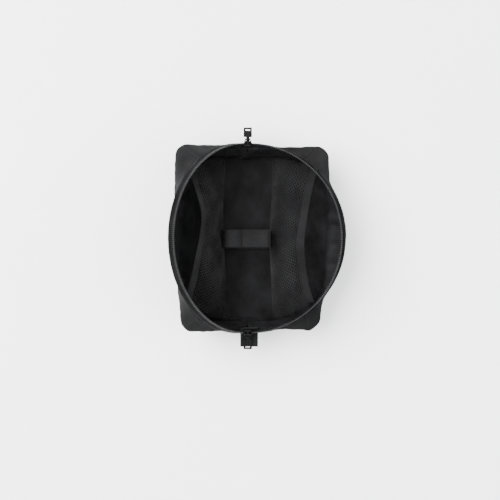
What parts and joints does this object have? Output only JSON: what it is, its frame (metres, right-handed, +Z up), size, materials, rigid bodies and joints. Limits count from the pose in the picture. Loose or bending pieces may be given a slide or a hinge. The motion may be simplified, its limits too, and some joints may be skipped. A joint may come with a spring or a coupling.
{
  "type": "cable organizer pouch",
  "caption": "Boxy fabric organizer pouch, unzipped wide, with mesh pockets each side, a centre hook-and-loop strap and a two-slider zip.",
  "frame": {"origin": "centre of the base's underside", "axes": "+Z up; Y along the zip, +Y towards the end without the webbing tab; +X towards the lip that lies further open"},
  "size_m": [0.1987, 0.2518, 0.1158],
  "materials": {
    "shell_fabric": "matte woven nylon, charcoal black",
    "lining": "plain woven lining, soft sheen",
    "mesh": "openwork knitted net",
    "binding": "plain grosgrain binding tape",
    "zipper_tape": "woven zipper tape",
    "webbing": "ribbed webbing",
    "coil": "moulded nylon coil, slight sheen",
    "stiffener": "plain board",
    "gunmetal": "dark plated metal, satin"
  },
  "bodies": {
    "shell": {"base_panel": "shell_fabric", "base_stiffener": "stiffener", "base_lining": "lining", "left_side_panel": "shell_fabric", "right_side_panel": "shell_fabric", "front_end_panel": "shell_fabric", "rear_end_panel": "shell_fabric", "left_side_lining": "lining", "right_side_lining": "lining", "front_end_lining": "lining", "rear_end_lining": "lining", "left_shoulder_panel": "shell_fabric", "right_shoulder_panel": "shell_fabric", "left_mesh_pocket": "mesh", "right_mesh_pocket": "mesh", "left_pocket_binding": "binding", "right_pocket_binding": "binding", "rear_zip_stop": "gunmetal", "strap_foot_patch": "webbing", "strap_left_band": "webbing", "strap_right_band": "webbing", "strap_loop_pad": "webbing"},
    "left_lip": {"left_top_panel": "shell_fabric", "left_zipper_tape": "zipper_tape", "left_zipper_coil": "coil"},
    "right_lip": {"right_top_panel": "shell_fabric", "right_zipper_tape": "zipper_tape", "right_zipper_coil": "coil"},
    "front_slider": {"front_slider": "gunmetal"},
    "rear_slider": {"rear_slider": "gunmetal"},
    "front_pull": {"front_pull": "gunmetal"},
    "rear_pull": {"rear_pull": "gunmetal"},
    "front_tab": {"front_end_tab": "webbing"},
    "strap_flap": {"strap_flap": "webbing", "strap_hook_pad": "webbing"}
  },
  "joints": [
    {"name": "mouth_close", "type": "hinge", "parent": "shell", "child": "left_lip", "pos_m": [0, 0, 0.045], "axis": [0, 1, 0], "range_deg": [0, 48]},
    {"name": "right_lip_close", "type": "hinge", "parent": "shell", "child": "right_lip", "pos_m": [0, 0, 0.045], "axis": [0, -1, 0], "range_deg": [0, 80]},
    {"name": "rear_slider_travel", "type": "hinge", "parent": "shell", "child": "rear_slider", "pos_m": [0, 0, 0.045], "axis": [1, 0, 0], "range_deg": [0, 82]},
    {"name": "front_slider_travel", "type": "hinge", "parent": "shell", "child": "front_slider", "pos_m": [0, 0, 0.045], "axis": [-1, 0, 0], "range_deg": [0, 82]},
    {"name": "rear_pull_swing", "type": "hinge", "parent": "rear_slider", "child": "rear_pull", "pos_m": [0, 0.111, 0.045], "axis": [1, 0, 0], "range_deg": [-60, 65]},
    {"name": "front_pull_swing", "type": "hinge", "parent": "front_slider", "child": "front_pull", "pos_m": [0, -0.111, 0.045], "axis": [-1, 0, 0], "range_deg": [0, 65]},
    {"name": "front_tab_fold", "type": "hinge", "parent": "shell", "child": "front_tab", "pos_m": [0, -0.1028, 0.0374], "axis": [1, 0, 0], "range_deg": [0, 75]},
    {"name": "strap_peel", "type": "hinge", "parent": "shell", "child": "strap_flap", "pos_m": [0.0226, -0.0005, 0.0491], "axis": [0, 1, 0], "range_deg": [0, 120]}
  ],
  "couplings": [
    {"joint": "right_lip_close", "follows": "mouth_close", "ratio": 1.6667},
    {"joint": "rear_slider_travel", "follows": "mouth_close", "ratio": 1.7083},
    {"joint": "front_slider_travel", "follows": "mouth_close", "ratio": 1.7083}
  ]
}
